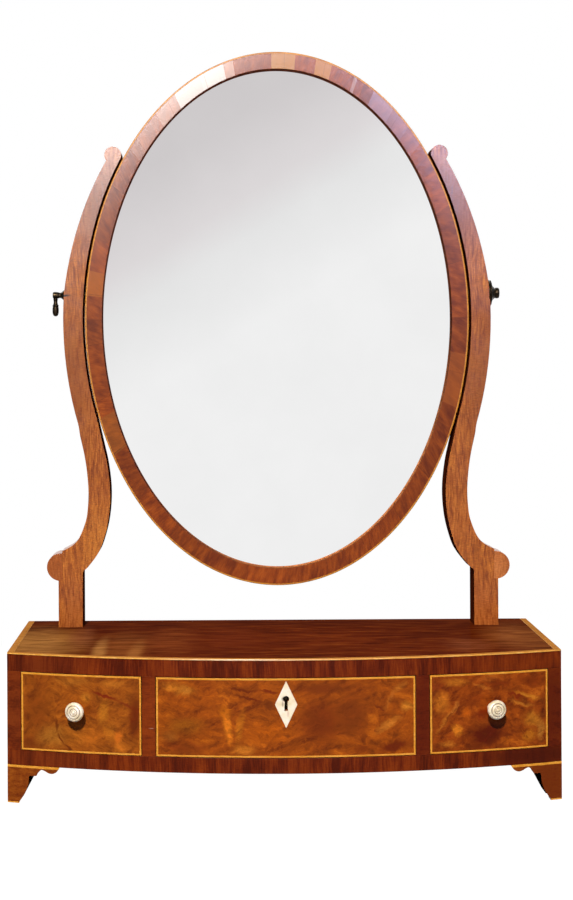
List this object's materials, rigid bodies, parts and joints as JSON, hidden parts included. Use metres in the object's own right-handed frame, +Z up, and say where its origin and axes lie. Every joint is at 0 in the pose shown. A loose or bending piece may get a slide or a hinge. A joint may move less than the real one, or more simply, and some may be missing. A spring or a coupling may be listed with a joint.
{
  "type": "dressing table mirror",
  "caption": "Oval swing mirror between S-shaped standards on a bow-fronted box with sliding drawers and bracket feet.",
  "frame": {"origin": "middle of the object's footprint, on the floor under the feet", "axes": "+X to the right seen from the front, +Y towards the back, +Z up"},
  "size_m": [0.45, 0.21, 0.6296],
  "materials": {
    "mahogany": "french polished",
    "top_mahogany": "french polished",
    "standard_mahogany": "french polished",
    "shoulder_mahogany": "french polished",
    "frame_mahogany": "french polished",
    "rail_banding": "french polished",
    "stile_banding": "french polished",
    "frame_banding": "french polished",
    "flame_mahogany": "french polished",
    "boxwood": "french polished",
    "pine": "matt",
    "oak_lining": "matt",
    "bone": "polished",
    "dark_brass": "patinated",
    "brass": "satin",
    "mirror": "polished"
  },
  "bodies": {
    "carcase": {"top_board": "top_mahogany", "top_banding": "boxwood", "top_facing": "rail_banding", "top_rail": "pine", "bottom_board": "pine", "bottom_facing": "rail_banding", "left_side": "mahogany", "right_side": "mahogany", "back_board": "pine", "left_divider": "pine", "right_divider": "pine", "stile_facings": "stile_banding", "drawer_kickers": "pine", "drawer_stops": "pine", "left_front_bracket": "mahogany", "right_front_bracket": "mahogany", "left_side_brackets": "mahogany", "right_side_brackets": "mahogany", "foot_blocks": "pine", "foot_stringing": "boxwood", "toe_banding": "boxwood", "left_standard": "standard_mahogany", "right_standard": "standard_mahogany", "standard_shoulders": "shoulder_mahogany"},
    "swing_mirror": {"mirror_frame": "frame_mahogany", "frame_banding": "frame_banding", "frame_stringing": "boxwood", "mirror_plate": "mirror", "glazing_blocks": "pine", "backboard": "pine", "backboard_screws": "brass", "pivot_plates": "brass", "plate_screws": "brass", "pivot_washers": "brass"},
    "left_screw": {"left_swivel_screw": "dark_brass", "left_drop": "dark_brass"},
    "right_screw": {"right_swivel_screw": "dark_brass", "right_rosette": "dark_brass"},
    "left_drawer": {"left_drawer_front": "flame_mahogany", "left_drawer_stringing": "boxwood", "left_drawer_sides": "oak_lining", "left_drawer_back": "oak_lining", "left_drawer_bottom": "oak_lining", "left_knob": "bone"},
    "right_drawer": {"right_drawer_front": "flame_mahogany", "right_drawer_stringing": "boxwood", "right_drawer_sides": "oak_lining", "right_drawer_back": "oak_lining", "right_drawer_bottom": "oak_lining", "right_knob": "bone"},
    "centre_drawer": {"centre_drawer_front": "flame_mahogany", "centre_drawer_stringing": "boxwood", "centre_drawer_sides": "oak_lining", "centre_drawer_back": "oak_lining", "centre_drawer_bottom": "oak_lining", "escutcheon": "bone", "lock_case": "brass", "lock_screws": "brass"},
    "bolt": {"lock_bolt": "brass"}
  },
  "joints": [
    {"name": "mirror_tilt", "type": "hinge", "parent": "carcase", "child": "swing_mirror", "pos_m": [0, 0.0782, 0.4153], "axis": [1, 0, 0], "range_deg": [-90, 90]},
    {"name": "left_screw_turn", "type": "hinge", "parent": "swing_mirror", "child": "left_screw", "pos_m": [0, 0.0782, 0.4153], "axis": [-1, 0, 0], "continuous": true},
    {"name": "right_screw_turn", "type": "hinge", "parent": "swing_mirror", "child": "right_screw", "pos_m": [0, 0.0782, 0.4153], "axis": [1, 0, 0], "continuous": true},
    {"name": "left_drawer_slide", "type": "slide", "parent": "carcase", "child": "left_drawer", "axis": [0, -1, 0], "range_m": [0, 0.12]},
    {"name": "right_drawer_slide", "type": "slide", "parent": "carcase", "child": "right_drawer", "axis": [0, -1, 0], "range_m": [0, 0.12]},
    {"name": "centre_drawer_slide", "type": "slide", "parent": "carcase", "child": "centre_drawer", "axis": [0, -1, 0], "range_m": [0, 0.12]},
    {"name": "lock_bolt_slide", "type": "slide", "parent": "centre_drawer", "child": "bolt", "axis": [0, 0, 1], "range_m": [0, 0.0045]}
  ]
}
